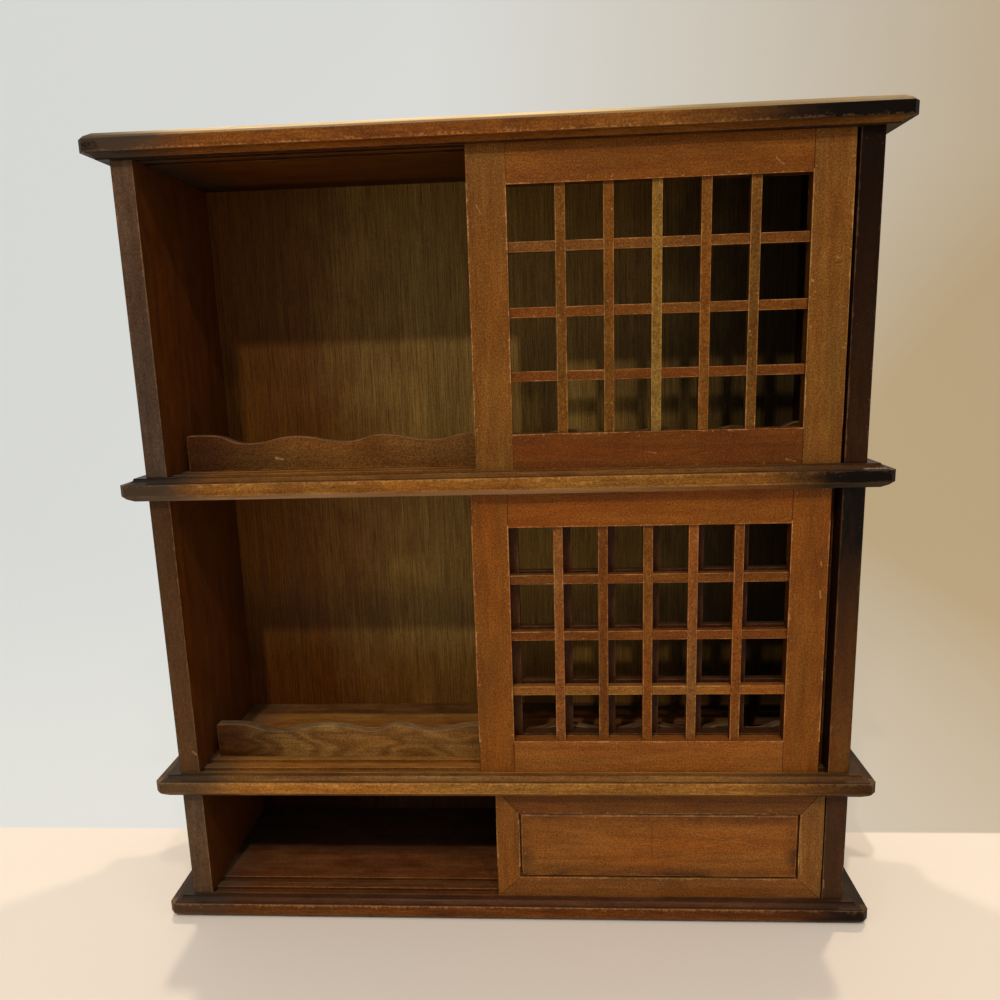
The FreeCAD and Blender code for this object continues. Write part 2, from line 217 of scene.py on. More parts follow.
def buildStudio():
    bpy.ops.object.select_all(action="DESELECT")
    bpy.ops.mesh.primitive_plane_add(size=1, location=(0, 0, 0))
    floor = bpy.context.object
    floor.name = "tableAndBackdrop"
    for vertex in floor.data.vertices:
        vertex.co.x *= 2 * studio["reach"]
        vertex.co.y = studio["backdrop"] if vertex.co.y > 0 else -studio["reach"]
    selectEdges(floor, lambda end: end.y > 0)
    bpy.ops.mesh.select_mode(type="EDGE")
    bpy.ops.mesh.extrude_region_move(TRANSFORM_OT_translate={"value": (0, 0, studio["backdropHeight"])})
    selectEdges(floor, lambda end: end.y > 0 and end.z < studio["backdropHeight"] / 2)
    bpy.ops.mesh.bevel(offset=studio["sweep"], segments=studio["sweepSegments"], affect="EDGES")
    bpy.ops.object.mode_set(mode="OBJECT")
    bpy.ops.object.shade_smooth()
    floor.data.materials.append(boardMaterial())

    # the room lights the cabinet evenly; past the sweep camera and gloss see a plain pale backdrop
    world = bpy.data.worlds.new("softRoom")
    bpy.context.scene.world = world
    world.use_nodes = True
    world.node_tree.nodes.clear()
    add = partial(addNode, world.node_tree)
    room = add("Background", {0: paint(studio["roomColour"]), 1: studio["roomLight"]})
    toward = add("SeparateXYZ", {0: add("TexCoord").outputs["Generated"]}).outputs["Y"]
    start, stop = studio["glossTurn"]
    level = add("MapRange", {0: toward, 1: start, 2: stop, 3: studio["glossInFront"], 4: studio["backdropLevel"]})
    toCamera = add("LightPath").outputs["Is Camera Ray"]
    shown = add("Math", {0: toCamera, 1: studio["backdropLevel"]}, operation="MULTIPLY")
    level = add("Math", {0: level, 1: shown}, operation="MAXIMUM")
    seen = add("Background", {0: paint(studio["wall"]), 1: level})
    both = add("MixShader", {0: seenDirectly(add), 1: room.outputs[0], 2: seen.outputs[0]})
    add("OutputWorld", {"Surface": both.outputs[0]})

    for name, (place, power, size, colour) in studio["lamps"].items():
        data = bpy.data.lights.new(name, "AREA")
        data.energy, data.size, data.color = power, size, linear(colour)
        lamp = bpy.data.objects.new(name, data)
        bpy.context.collection.objects.link(lamp)
        lamp.location = place
        lamp.rotation_euler = (Vector(studio["aim"]) - lamp.location).to_track_quat("-Z", "Y").to_euler()
    print("studio ready")


buildStudio()

# woods: every piece carries its own stain, its box and its eased arrises, and all sizes are mm on the cabinet
mould = {"chamferTop": 2.9, "fasciaTop": 9.1, "coveFoot": 9.45, "quirk": 9.38, "thickness": 12.2}
trackEdges = (-42.35, -37.55, -33.05, -28.25)    # y of the four edges of the two tracks
sideInner, sideOuter, sideFront, backFront = 178.5, 190.0, -43.25, 46.75
plankShift = (7.31, 5.17, 3.93)  # times a piece's place: no two pieces are cut from the same spot of the plank
bareWood = "b78a58"              # where varnish and stain have rubbed off
creamWoodAndHighlight = "f0cf9f"             # a whole edge rubbed down to pale wood, with a painted highlight where it catches light
shadedLacquerAndSheen = "362c22"         # the lacquer shaded dark at the boards' left ends, greyed by a painted sheen where they catch light
oldDirtAndShade = "170c06"               # wax and dust packed in corners; also the colour of the painted shade on the boards
burntStain = "0b0502"            # lacquer shaded almost black at the board ends and side edges
dust = "9a8c78"
poreTint = (0.3, 0.24, 0.2)      # stain gathers in the open pores
innerFaceShade = (0.42, 0.36, 0.32)    # painted shade on a door's inner faces, undersides and sides most
rubCore, scratchCore = 0.45, 0.35    # share of a rub's and of a scratch's width that is bare right through
shoulderFade = 0.4               # a rail's shoulder line on a stile, in mm
plyWashesAndShade = (                    # across or up the back: where a wash starts, where it is full, and its tint; some are painted shade
    # partly a redder stain, partly painted shade towards the left side
    ("across", -40.0, -140.0, (0.52, 0.32, 0.13)),
    # painted shade: dark to the right, behind the doors
    ("across", 50.0, 160.0, (0.22, 0.22, 0.25)),
    ("up", 155.0, 190.0, (1.60, 1.62, 1.50)),
    ("up", 252.0, 264.0, (0.62, 0.62, 0.66)),
    ("up", 150.0, 104.0, (0.82, 0.66, 0.50)),
    # painted shade: dark at the foot of the lower bay
    ("up", 92.0, 88.0, (0.35, 0.28, 0.22)),
)

# a ramp runs between two measures, in mm or of a noise, from one amount to another if not from 0 to 1
ramps = {
    "beforeSides": (sideFront - 0.35, sideFront - 0.15, 1.0, 0.0),
    "pastSides": (sideOuter, sideOuter + 0.3),
    "insideBoard": (sideFront, sideFront + 0.6),
    "behindDoors": (-10.0, 30.0),
    "behindTracks": (-27.0, -25.5),
    "leftEnd": (-112.0, -168.0),
    "plyFront": (backFront + 0.3, backFront + 0.6, 1.0, 0.0),
    "plyWander": (0.3, 0.7, -18.0, 18.0),
    "endWander": (0.3, 0.7, -9.0, 9.0),
    "blotch": (0.34, 0.66),
    "sprayedFront": (sideFront + 0.3, sideFront + 1.2, 1.0, 0.0),
    "sprayedFace": (sideOuter - 0.6, sideOuter - 0.2),
    "footToTop": (0.1, 0.85),
    "awayFromEdge": (2.0, 34.0, 0.9, 0.15),
    "shadeUneven": (0.3, 0.7, 0.9, 1.15),
    "cove": (mould["fasciaTop"], mould["coveFoot"]),
    "chamfer": (mould["chamferTop"] - 0.2, mould["chamferTop"] + 0.1, 1.0, 0.0),
    "chamferTone": (0.4, 0.62),
    "creamAway": (90.0, 150.0, 1.0, 0.12),
    "creamUneven": (0.35, 0.6, 0.55, 1.0),
    "topFace": (mould["thickness"] - 0.2, mould["thickness"] - 0.05),
    "pastTheFront": (sideFront + 0.25, sideFront + 0.65),
    "dirtUneven": (0.35, 0.65, 0.65, 0.95),
    "chamferRub": (0.4, 0.66, 0.3, 1.3),
    "fasciaRub": (0.42, 0.66, 0.4, 2.6),
    "fasciaRagged": (0.42, 0.62, 0.15, 1.5),
    "underLedge": (-0.15, 0.0),
    "rubbedFront": (sideFront - 0.6, sideFront - 0.2, 1.0, 0.0),
    "betweenSides": (sideInner - 1.0, sideInner),
    "trackEdge": (0.15, 0.5, 1.0, 0.0),
    "boardChips": (0.4, 0.6, 0.4, 1.0),
    "edgeRub": (0.44, 0.7, 0.2),
    "edgeChips": (0.42, 0.58, 0.2, 1.0),
    "hair": (0.36, 0.6, 0.3, 1.0),
    "freeEdge": (1.2, 1.5, 1.0, 0.0),
    "jointLine": (1.2, 1.5, 0.0),
    "fleck": (0.64, 0.7, 0.0, 0.9),
    "fleckNear": (0.6, 4.0, 1.0, 0.15),
    "innerFace": (0.3, 0.8, 1.0, 0.0),
    "upperFace": (0.5, 0.9, 1.0, 0.35),
    "darkRoundFrame": (0.5, 9.0),
    "smudgeUneven": (0.35, 0.6, 0.1, 1.0),
    "lyingFace": (0.6, 0.95, 0.0),
    "dustUneven": (0.35, 0.65, 0.4, 1.0),
    "markChips": (0.4, 0.56, 0.25, 1.0),
}
ramps = {name: dict(enumerate(ramp, 1)) for name, ramp in ramps.items()}


def readPlace(add, look):
    # where a point lies: on the cabinet, in its plank, and inside its own piece's box
    coords = add("TexCoord").outputs["Object"]
    mm = add("VectorMath", {0: coords, 1: (1000, 1000, 1000)}, operation="MULTIPLY")
    low = add("Attribute", attribute_name="pieceLow").outputs["Vector"]
    high = add("Attribute", attribute_name="pieceHigh").outputs["Vector"]
    shift = add("VectorMath", {0: low, 1: plankShift}, operation="MULTIPLY")
    fromLow = add("VectorMath", {0: mm, 1: low}, operation="SUBTRACT")
    fromHigh = add("VectorMath", {0: high, 1: mm}, operation="SUBTRACT")
    inside = add("VectorMath", {0: fromLow, 1: fromHigh}, operation="MINIMUM")
    inside = add("SeparateXYZ", {0: inside}).outputs
    # the second smallest of the three distances is the distance to the box's nearest edge
    lesser = add("Math", {0: inside[0], 1: inside[1]}, operation="MINIMUM")
    greater = add("Math", {0: inside[0], 1: inside[1]}, operation="MAXIMUM")
    greater = add("Math", {0: greater, 1: inside[2]}, operation="MINIMUM")
    fromFace = fromHigh if look["board"] == "ceiling" else fromLow
    size = add("VectorMath", {0: high, 1: low}, operation="SUBTRACT")
    share = add("VectorMath", {0: fromLow, 1: size}, operation="DIVIDE")
    point = add("SeparateXYZ", {0: mm}).outputs
    before = add("MapRange", {0: point[1], **ramps["beforeSides"]})
    beyond = add("Math", {0: point[0]}, operation="ABSOLUTE")
    beyond = add("MapRange", {0: beyond, **ramps["pastSides"]})
    return {
        "mm": mm, "inside": inside, "point": point,
        "plank": add("VectorMath", {0: mm, 1: shift}, operation="ADD"),
        "edge": add("Math", {0: lesser, 1: greater}, operation="MAXIMUM"),
        "outside": add("Math", {0: before, 1: beyond}, operation="MAXIMUM"),    # 1 on what stands past the sides
        "height": add("SeparateXYZ", {0: fromFace}).outputs[2],
        "upward": add("SeparateXYZ", {0: share}).outputs[2],
        "normal": add("SeparateXYZ", {0: add("NewGeometry").outputs["Normal"]}).outputs,
        "arris": add("Attribute", attribute_name="arris").outputs["Fac"],
    }


def cutGrain(add, place, look):
    # each pattern has its length along the grain and its width across it
    def sized(name):
        length, width = look[name]
        scale = (1 / length, 1 / width, 1 / width) if look["grain"] == "X" else (1 / width, 1 / width, 1 / length)
        return add("VectorMath", {0: place["plank"], 1: scale}, operation="MULTIPLY")

    sway = add("TexNoise", {"Vector": sized("sway"), "Scale": 1.0, "Detail": 1.5, "Roughness": 0.45})
    turns = add("Math", {0: sway, 1: look["bands"] * 2 * pi}, operation="MULTIPLY")
    grain = {"bands": add("Math", {0: turns}, operation="SINE")}
    details = {"fibre": 3.0, "streak": 2.0, "cloud": 3.0, "blotch": 2.0, "speck": 2.0, "rub": 4.0, "rough": 3.0}
    for name, detail in details.items():
        grain[name] = add("TexNoise", {"Vector": sized(name), "Scale": 1.0, "Detail": detail, "Roughness": 0.6})
    if look["poreDepth"]:
        pore = add("TexNoise", {"Vector": sized("pore"), "Scale": 1.0, "Detail": 2.5, "Roughness": 0.7})
        stop = look["poreFrom"] + look["poreEdge"]
        grain["pore"] = add("MapRange", {0: pore, 1: look["poreFrom"], 2: stop, 3: 0.0, 4: look["poreDepth"]})
    return grain


def distance(add, value, line):
    # how far a value lies from a line, to either side
    away = add("Math", {0: value, 1: line}, operation="SUBTRACT")
    return add("Math", {0: away}, operation="ABSOLUTE")


def tintBy(add, colour, amount, tint):
    tinted = add("VectorMath", {0: colour, 1: tint}, operation="MULTIPLY")
    return add("Mix", {0: amount, 6: colour, 7: tinted}, data_type="RGBA")


def wipeStain(add, place, grain, look):
    # dark streaks are the redder ones, and the stain took in reddish and greyish patches
    point = place["point"]
    tone = add("MapRange", {0: grain["bands"], 1: -1.0, 2: 1.0, 3: 1 - look["bandDepth"], 4: 1 + look["bandDepth"]})
    for name in ("fibre", "streak", "cloud", "speck"):
        depth = look[name + "Depth"]
        part = add("MapRange", {0: grain[name], **mostOfNoise, 3: 1 - depth, 4: 1 + depth})
        tone = add("Math", {0: tone, 1: part}, operation="MULTIPLY")
    green, blue = (add("Math", {0: tone, 1: power}, operation="POWER") for power in look["reddening"])
    tones = add("CombineXYZ", {0: tone, 1: green, 2: blue})
    stain = add("Attribute", attribute_name="stain").outputs["Vector"]
    if look["sprayed"]:
        lacquer = add("Attribute", attribute_name="lacquer").outputs["Vector"]
        both = add("Math", dict(enumerate(sprayedSide(add, place))), operation="MAXIMUM")
        stain = add("Mix", {0: both, 6: stain, 7: lacquer}, data_type="RGBA")
    colour = add("VectorMath", {0: stain, 1: tones}, operation="MULTIPLY")
    redder = add("VectorMath", {0: colour, 1: look["redder"]}, operation="MULTIPLY")
    greyer = add("VectorMath", {0: colour, 1: look["greyer"]}, operation="MULTIPLY")
    patch = add("MapRange", {0: grain["blotch"], **ramps["blotch"]})
    colour = add("Mix", {0: patch, 6: redder, 7: greyer}, data_type="RGBA")
    if look["board"]:
        # inside, the boards are browner and darker than their front
        inside = add("MapRange", {0: point[1], **ramps["insideBoard"]})
        colour = tintBy(add, colour, inside, look["insideTint"])
    if look["shadeBehindDoors"]:
        # painted shade: behind the doors the floors and rails are darkened, as they lie in the doors' shade
        behind = add("MapRange", {0: point[0], **ramps["behindDoors"]})
        deep = add("MapRange", {0: point[1], **ramps["behindTracks"]})
        behind = add("Math", {0: behind, 1: deep}, operation="MULTIPLY")
        colour = tintBy(add, colour, behind, look["shadeBehindDoors"])
    if look["leftEnd"]:
        # the rail is darker and redder towards its left end
        end = add("MapRange", {0: point[0], **ramps["leftEnd"]}, **softly)
        colour = tintBy(add, colour, end, look["leftEnd"])
    if look["poreDepth"]:
        colour = tintBy(add, colour, grain["pore"], poreTint)
    return colour


def washAndShadePly(add, place, grain, colour):
    # inside, the back is redder and darker to the left, partly from its stain and partly as painted shade; painted
    # shade makes it dark to the right, behind the doors, and at the foot of the lower bay; and its tone changes with
    # height
    x, y, z = place["point"]
    front = add("MapRange", {0: y, **ramps["plyFront"]})
    wander = add("MapRange", {0: grain["cloud"], **ramps["plyWander"]})
    ways = {"across": add("Math", {0: x, 1: wander}, operation="ADD"), "up": z}
    for way, start, stop, tint in plyWashesAndShade:
        amount = add("MapRange", {0: ways[way], 1: start, 2: stop}, **softly)
        amount = add("Math", {0: amount, 1: front}, operation="MULTIPLY")
        colour = tintBy(add, colour, amount, tint)
    return colour


def shadeBoard(add, place, grain):
    # how far the lacquer is shaded towards a board's left and right end
    wander = add("MapRange", {0: grain["cloud"], **ramps["endWander"]})
    ends = []
    for sign, name in ((-1.0, "burnLeft"), (1.0, "burnRight")):
        start, width, depth = add("SeparateXYZ", {0: add("Attribute", attribute_name=name).outputs["Vector"]}).outputs
        reach = add("Math", {0: place["point"][0], 1: sign, 2: wander}, operation="MULTIPLY_ADD")
        stop = add("Math", {0: start, 1: width}, operation="ADD")
        end = add("MapRange", {0: reach, 1: start, 2: stop}, **softly)
        ends.append(add("Math", {0: end, 1: depth}, operation="MULTIPLY"))
    return ends


def sprayedSide(add, place):
    # 1 on a side panel's front edge and its outer face, which were sprayed; the inner face was only stained
    front = add("MapRange", {0: place["point"][1], **ramps["sprayedFront"]})
    away = add("Math", {0: place["point"][0]}, operation="ABSOLUTE")
    outer = add("MapRange", {0: away, **ramps["sprayedFace"]})
    return front, outer


def shadeSide(add, place, grain):
    # how dark the lacquer is shaded on the front edge, at its top and its foot, and on the outer face behind it
    front, outer = sprayedSide(add, place)
    burn = add("SeparateXYZ", {0: add("Attribute", attribute_name="burn").outputs["Vector"]}).outputs
    level = add("MapRange", {0: place["upward"], **ramps["footToTop"], 3: burn[0], 4: burn[1]})
    near = add("MapRange", {0: place["inside"][1], **ramps["awayFromEdge"]}, **softly)
    outer = add("Math", {0: outer, 1: near}, operation="MULTIPLY")
    level = add("Math", {0: level, 1: front}, operation="MULTIPLY")
    level = add("Math", {0: level, 1: outer}, operation="MAXIMUM")
    uneven = add("MapRange", {0: grain["cloud"], **ramps["shadeUneven"]})
    return add("Math", {0: level, 1: uneven}, operation="MULTIPLY", use_clamp=True)


def toneMoulding(add, place, grain, look, colour):
    # the cove keeps its own tone; the chamfer takes its own tone, painted shade on the lower boards and painted sheen
    # on the top board; both ends are shaded
    height = place["height"]
    cove = add("MapRange", {0: height, **ramps["cove"]})
    cove = add("Math", {0: cove, 1: place["outside"]}, operation="MULTIPLY")
    colour = tintBy(add, colour, cove, look["coveTint"])
    chamfer = add("MapRange", {0: height, **ramps["chamfer"]})
    chamfer = add("Math", {0: chamfer, 1: place["outside"]}, operation="MULTIPLY")
    tone = add("Attribute", attribute_name="chamfer").outputs["Vector"]
    least, most = look["chamferToneShare"]
    patchy = add("MapRange", {0: grain["rub"], **ramps["chamferTone"], 3: least, 4: most})
    toned = add("Math", {0: chamfer, 1: patchy}, operation="MULTIPLY")
    colour = add("Mix", {0: toned, 6: colour, 7: tone}, data_type="RGBA")

    left, right = shadeBoard(add, place, grain)
    # the left end is shaded dark and greyed by a painted sheen where it catches light, except that its ledge and cove
    # stay dark; the right end is almost black
    patch = add("Math", {0: left, 1: cove}, operation="MULTIPLY")
    colour = add("Mix", {0: left, 6: colour, 7: paint(shadedLacquerAndSheen)}, data_type="RGBA")
    colour = tintBy(add, colour, patch, look["leftPatch"])
    for part, kept in ((cove, look["coveKept"]), (chamfer, look["chamferKept"])):
        spared = add("MapRange", {0: part, 3: 1.0, 4: kept})
        right = add("Math", {0: right, 1: spared}, operation="MULTIPLY")
    colour = add("Mix", {0: right, 6: colour, 7: paint(burntStain)}, data_type="RGBA")

    # the lowest edge is rubbed down to pale wood and lit by a painted highlight, most of all left of the middle
    bare = add("SeparateXYZ", {0: add("Attribute", attribute_name="bare").outputs["Vector"]}).outputs[0]
    full, gone = look["creamTop"]
    below = add("MapRange", {0: height, 1: full, 2: gone, 3: 1.0, 4: 0.0})
    away = add("Math", {0: place["point"][0], 1: -look["creamMiddle"]}, operation="ADD")
    away = add("Math", {0: away}, operation="ABSOLUTE")
    inward = add("MapRange", {0: away, **ramps["creamAway"]})
    uneven = add("MapRange", {0: grain["streak"], **ramps["creamUneven"]})
    for part in (below, place["outside"], inward, uneven):
        bare = add("Math", {0: bare, 1: part}, operation="MULTIPLY")
    colour = add("Mix", {0: bare, 6: colour, 7: paint(creamWoodAndHighlight)}, data_type="RGBA")
    return colour, add("Math", {0: left, 1: right}, operation="MAXIMUM")


def packDirtAndShade(add, place, grain, look):
    # dirt fills the quirk over the fascia, the top of the cove and the tracks; painted shade darkens the board's far
    # end, and on the base the floor under the lower shelf
    point, height = place["point"], place["height"]
    dirt = None
    # height of a dirt line's middle, and half its width
    lines = {"quirkDirt": (mould["quirk"], 0.42), "coveDirt": (mould["thickness"] - 0.2, 0.4)}
    for name, (centre, half) in lines.items():
        off = distance(add, height, centre)
        line = add("MapRange", {0: off, 1: half * 0.5, 2: half, 3: look[name], 4: 0.0})
        dirt = line if dirt is None else add("Math", {0: dirt, 1: line}, operation="MAXIMUM")
    dirt = add("Math", {0: dirt, 1: place["outside"]}, operation="MULTIPLY")
    sunk = add("MapRange", {0: height, **ramps["topFace"], 3: look["trackDirt"], 4: 0.0})
    within = add("MapRange", {0: point[1], **ramps["pastTheFront"]})
    track = add("Math", {0: sunk, 1: within}, operation="MULTIPLY")
    # painted shade: the far end of the board, and on the base the lower shelf's shadow
    start, width, depth = add("SeparateXYZ", {0: add("Attribute", attribute_name="grime").outputs["Vector"]}).outputs
    stop = add("Math", {0: start, 1: width}, operation="ADD")
    grime = add("MapRange", {0: point[1], 1: start, 2: stop}, **softly)
    grime = add("Math", {0: grime, 1: depth}, operation="MULTIPLY")
    for part in (track, grime):
        dirt = add("Math", {0: dirt, 1: part}, operation="MAXIMUM")
    patchy = add("MapRange", {0: grain["rub"], **ramps["dirtUneven"]})
    return add("Math", {0: dirt, 1: patchy}, operation="MULTIPLY")


def rubBoard(add, place, grain, look):
    # a moulded board is bare along its chamfer's arris, in ragged patches on top of the fascia, and by its tracks
    point, height = place["point"], place["height"]
    bare = add("SeparateXYZ", {0: add("Attribute", attribute_name="bare").outputs["Vector"]}).outputs
    off = distance(add, height, mould["chamferTop"])
    width = add("MapRange", {0: grain["rub"], **ramps["chamferRub"]})
    chamfer = add("MapRange", {0: off, 1: 0.0, 2: width, 3: 1.0, 4: 0.0})
    chamfer = add("Math", {0: chamfer, 1: bare[1]}, operation="MULTIPLY")
    off = add("Math", {0: mould["fasciaTop"], 1: height}, operation="SUBTRACT")
    ragged = add("MapRange", {0: grain["rough"], **ramps["fasciaRagged"]})
    width = add("MapRange", {0: grain["rub"], **ramps["fasciaRub"]})
    width = add("Math", {0: width, 1: ragged}, operation="MULTIPLY")
    fascia = add("MapRange", {0: off, 1: 0.0, 2: width, 3: 1.0, 4: 0.0})
    under = add("MapRange", {0: off, **ramps["underLedge"]})
    fascia = add("Math", {0: fascia, 1: under}, operation="MULTIPLY")
    fascia = add("Math", {0: fascia, 1: bare[2]}, operation="MULTIPLY")
    worn = add("Math", {0: chamfer, 1: fascia}, operation="MAXIMUM")
    outward = add("MapRange", {0: point[1], **ramps["rubbedFront"]})
    worn = add("Math", {0: worn, 1: outward}, operation="MULTIPLY")
    onTop = add("MapRange", {0: height, **ramps["topFace"]})
    between = add("Math", {0: point[0]}, operation="ABSOLUTE")
    between = add("MapRange", {0: between, **ramps["betweenSides"], 3: look["trackWear"], 4: 0.0})
    onTop = add("Math", {0: onTop, 1: between}, operation="MULTIPLY")
    for line in trackEdges:
        off = distance(add, point[1], line)
        off = add("MapRange", {0: off, **ramps["trackEdge"]})
        off = add("Math", {0: off, 1: onTop}, operation="MULTIPLY")
        worn = add("Math", {0: worn, 1: off}, operation="MAXIMUM")
    broken = add("MapRange", {0: grain["rough"], **ramps["boardChips"]})
    return add("Math", {0: worn, 1: broken}, operation="MULTIPLY")


def rubEdges(add, place, grain, look):
    # free arrises are rubbed a hair wide, with a chip here and there
    reach = add("MapRange", {0: grain["rub"], **ramps["edgeRub"], 4: look["wearWidth"]})
    inner = add("Math", {0: reach, 1: rubCore}, operation="MULTIPLY")
    worn = add("MapRange", {0: place["edge"], 1: inner, 2: reach, 3: 1.0, 4: 0.0})
    broken = add("MapRange", {0: grain["rough"], **ramps["edgeChips"]})
    worn = add("Math", {0: worn, 1: broken}, operation="MULTIPLY")
    hair = add("MapRange", {0: grain["rub"], **ramps["hair"]})
    hair = add("Math", {0: hair, 1: place["arris"]}, operation="MULTIPLY")
    if not look["allArris"]:
        free = add("MapRange", {0: place["edge"], **ramps["freeEdge"]})
        hair = add("Math", {0: hair, 1: free}, operation="MULTIPLY")
    worn = add("Math", {0: worn, 1: hair}, operation="MAXIMUM")
    if look["shoulder"]:
        past = add("MapRange", {0: place["inside"][2], 1: look["shoulder"] - shoulderFade, 2: look["shoulder"]})
        worn = add("Math", {0: worn, 1: past}, operation="MULTIPLY")
    fleck = add("MapRange", {0: grain["rough"], **ramps["fleck"]})
    near = add("MapRange", {0: place["edge"], **ramps["fleckNear"]})
    fleck = add("Math", {0: fleck, 1: near}, operation="MULTIPLY")
    worn = add("Math", {0: worn, 1: fleck}, operation="MAXIMUM")
    rubbed = add("Attribute", attribute_name="rubbed").outputs["Fac"]
    worn = add("Math", {0: worn, 1: rubbed}, operation="MULTIPLY")
    return add("Math", {0: worn, 1: look["wear"]}, operation="MULTIPLY")


def packJoints(add, place, grain, look):
    # joint lines hold a little dirt, beside a rail's shoulders too, and a panel is darker round its frame
    joint = add("MapRange", {0: place["edge"], **ramps["jointLine"], 4: look["jointDirt"]})
    if look["shoulder"]:
        reach = {1: look["shoulder"] - shoulderFade, 2: look["shoulder"]}
        beside = add("MapRange", {0: place["inside"][2], **reach, 3: look["shoulderDirt"], 4: 0.0})
        joint = add("Math", {0: joint, 1: beside}, operation="MAXIMUM")
    dirt = add("Math", {0: joint, 1: place["arris"]}, operation="MULTIPLY")
    if look["darkRoundFrame"]:
        darkRoundFrame = add("MapRange", {0: place["edge"], **ramps["darkRoundFrame"], 3: look["darkRoundFrame"], 4: 0.0})
        uneven = add("MapRange", {0: grain["cloud"], **ramps["smudgeUneven"]})
        darkRoundFrame = add("Math", {0: darkRoundFrame, 1: uneven}, operation="MULTIPLY")
        dirt = add("Math", {0: dirt, 1: darkRoundFrame}, operation="MAXIMUM")
    return dirt


def scratch(add, place, start, end, width):
    # 1 on the line from start to end, 0 past its width
    along = Vector(end) - Vector(start)
    offset = add("VectorMath", {0: place["mm"], 1: start}, operation="SUBTRACT")
    run = add("VectorMath", {0: offset, 1: along / along.length_squared}, operation="DOT_PRODUCT")
    run = add("Math", {0: run, 1: 0.0}, operation="ADD", use_clamp=True)
    foot = add("VectorMath", {0: along, "Scale": run}, operation="SCALE")
    away = add("VectorMath", {0: offset, 1: foot}, operation="DISTANCE")
    return add("MapRange", {0: away, 1: width * scratchCore, 2: width, 3: 1.0, 4: 0.0})


def drawMarks(add, place, grain, look, worn):
    # light marks join the worn parts; dark ones are handed back by themselves
    broken = add("MapRange", {0: grain["rough"], **ramps["markChips"]})
    dark = None
    for strength, start, end, width in look["marks"]:
        mark = scratch(add, place, start, end, width)
        mark = add("Math", {0: mark, 1: broken}, operation="MULTIPLY")
        mark = add("Math", {0: mark, 1: abs(strength)}, operation="MULTIPLY")
        if strength > 0:
            worn = add("Math", {0: worn, 1: mark}, operation="MAXIMUM")
        else:
            dark = mark if dark is None else add("Math", {0: dark, 1: mark}, operation="MAXIMUM")
    return worn, dark


# satin varnish: how far it is glossier and duller than the wood's own roughness in patches, and duller where worn;
# relief is the share of each pattern in the surface's hollows, and depth its height in metres
varnish = {
    "patches": (-0.05, 0.07), "wornDuller": 0.2, "ior": 1.5, "coatRoughness": 0.2, "depth": 0.00022,
    "relief": {"fibre": 0.5, "streak": 0.5, "worn": -0.9, "pore": -1.0},
}
wornStain = {"share": 0.5, "lighter": (2.0, 2.0, 2.0)}    # worn wood keeps some of the stain that lies round it


